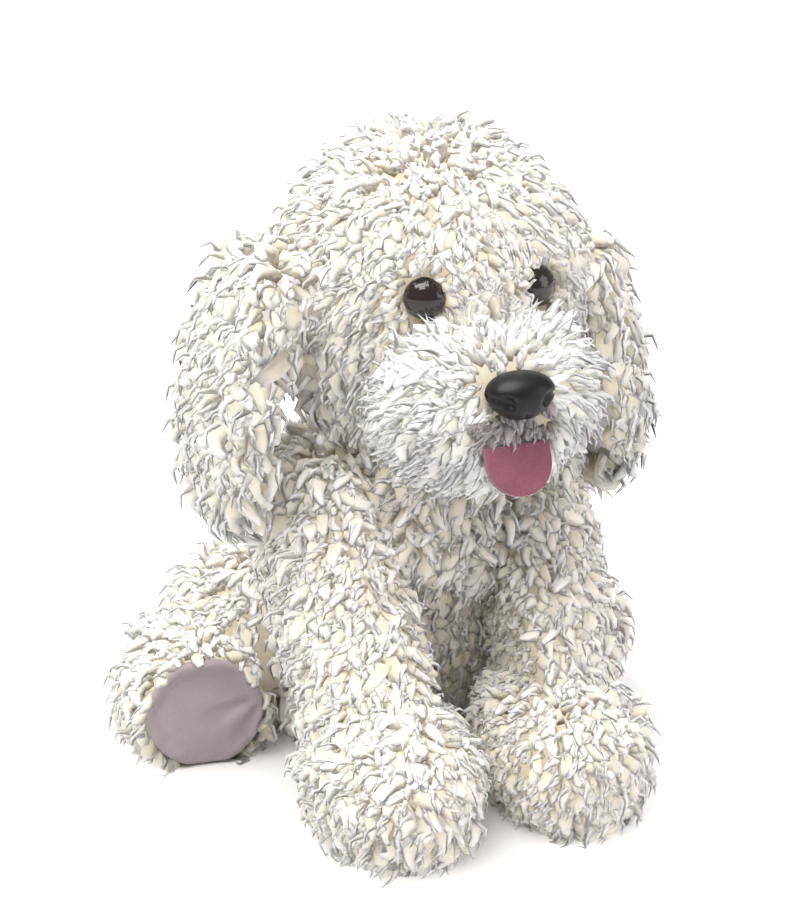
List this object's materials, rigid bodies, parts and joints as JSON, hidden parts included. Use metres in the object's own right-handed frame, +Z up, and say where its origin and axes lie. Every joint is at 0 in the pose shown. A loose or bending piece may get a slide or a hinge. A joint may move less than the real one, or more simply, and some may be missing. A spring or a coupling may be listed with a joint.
{
  "type": "plush dog",
  "caption": "Sitting plush dog with curly cream pile, floppy ears, moulded eyes and nose, felt tongue, and stuffed limbs and head that flex at their seams.",
  "frame": {"origin": "on the floor under the flat seat, in the dog's middle plane", "axes": "+Z up, -Y the way the dog faces, -X the dog's right side"},
  "size_m": [0.2146, 0.2364, 0.253],
  "materials": {
    "plush": "long curly cream pile",
    "face_plush": "longer white pile",
    "velour": "short smooth lavender-grey pile",
    "lining": "short pile ear lining",
    "filling": "polyester fibre filling",
    "pouch": "plain weave lining",
    "pellets": "small plastic pellets",
    "eye": "glossy dark brown",
    "nose": "glossy black-brown, moulded",
    "washer": "natural plastic",
    "felt": "pink felt",
    "black_thread": "black embroidery thread",
    "thread": "cream sewing thread",
    "label": "blank woven ribbon"
  },
  "bodies": {
    "torso": {"torso_left_panel": "plush", "torso_right_panel": "plush", "belly_panel": "plush", "seat_panel": "plush", "torso_stuffing": "filling", "bean_pouch": "pouch", "bean_pellets": "pellets", "closing_stitches": "thread", "sewn_label": "label"},
    "neck": {"neck_seam": "thread"},
    "head": {"head_left_panel": "plush", "head_right_panel": "plush", "head_gusset": "plush", "throat_panel": "plush", "muzzle_panel": "face_plush", "chin_panel": "face_plush", "head_stuffing": "filling", "right_eye": "eye", "left_eye": "eye", "right_eye_washer": "washer", "left_eye_washer": "washer", "nose": "nose", "nose_washer": "washer", "mouth_stitch": "black_thread"},
    "tongue_flap": {"tongue": "felt"},
    "right_ear": {"right_ear_cover": "plush", "right_ear_lining": "lining"},
    "left_ear": {"left_ear_cover": "plush", "left_ear_lining": "lining"},
    "front_right_leg": {"front_right_outer_panel": "plush", "front_right_inner_panel": "plush", "front_right_sole": "velour", "front_right_stuffing": "filling"},
    "front_left_leg": {"front_left_outer_panel": "plush", "front_left_inner_panel": "plush", "front_left_sole": "velour", "front_left_stuffing": "filling"},
    "hind_right_leg": {"hind_right_upper_panel": "plush", "hind_right_lower_panel": "plush", "hind_right_sole": "velour", "hind_right_stuffing": "filling"},
    "hind_left_leg": {"hind_left_upper_panel": "plush", "hind_left_lower_panel": "plush", "hind_left_sole": "velour", "hind_left_stuffing": "filling"},
    "tail": {"tail_cover": "plush", "tail_stuffing": "filling"}
  },
  "joints": [
    {"name": "head_nod", "type": "hinge", "parent": "torso", "child": "neck", "pos_m": [0, -0.014, 0.148], "axis": [1, 0, 0], "range_deg": [-12, 12], "stiffness_Nm_per_rad": 0.9},
    {"name": "head_turn", "type": "hinge", "parent": "neck", "child": "head", "pos_m": [0, -0.014, 0.148], "axis": [0, -0.3216, 0.9469], "range_deg": [-10, 10], "stiffness_Nm_per_rad": 0.5},
    {"name": "right_ear_swing", "type": "hinge", "parent": "head", "child": "right_ear", "pos_m": [-0.054, -0.026, 0.211], "axis": [0, 1, 0], "range_deg": [0, 70]},
    {"name": "left_ear_swing", "type": "hinge", "parent": "head", "child": "left_ear", "pos_m": [0.054, -0.026, 0.211], "axis": [0, -1, 0], "range_deg": [0, 70]},
    {"name": "tongue_lift", "type": "hinge", "parent": "head", "child": "tongue_flap", "pos_m": [0, -0.1084, 0.1595], "axis": [-1, 0, 0], "range_deg": [0, 45]},
    {"name": "front_right_lift", "type": "hinge", "parent": "torso", "child": "front_right_leg", "pos_m": [-0.039, -0.022, 0.112], "axis": [-1, 0, 0], "range_deg": [0, 45], "stiffness_Nm_per_rad": 0.3},
    {"name": "front_left_lift", "type": "hinge", "parent": "torso", "child": "front_left_leg", "pos_m": [0.039, -0.022, 0.112], "axis": [-1, 0, 0], "range_deg": [0, 45], "stiffness_Nm_per_rad": 0.3},
    {"name": "hind_right_lift", "type": "hinge", "parent": "torso", "child": "hind_right_leg", "pos_m": [-0.05, 0.028, 0.041], "axis": [-1, 0, 0], "range_deg": [0, 40], "stiffness_Nm_per_rad": 0.3},
    {"name": "hind_left_lift", "type": "hinge", "parent": "torso", "child": "hind_left_leg", "pos_m": [0.05, 0.028, 0.041], "axis": [-1, 0, 0], "range_deg": [0, 40], "stiffness_Nm_per_rad": 0.3},
    {"name": "tail_wag", "type": "hinge", "parent": "torso", "child": "tail", "pos_m": [0, 0.072, 0.036], "axis": [0, 0, 1], "range_deg": [-25, 25], "stiffness_Nm_per_rad": 0.02}
  ]
}
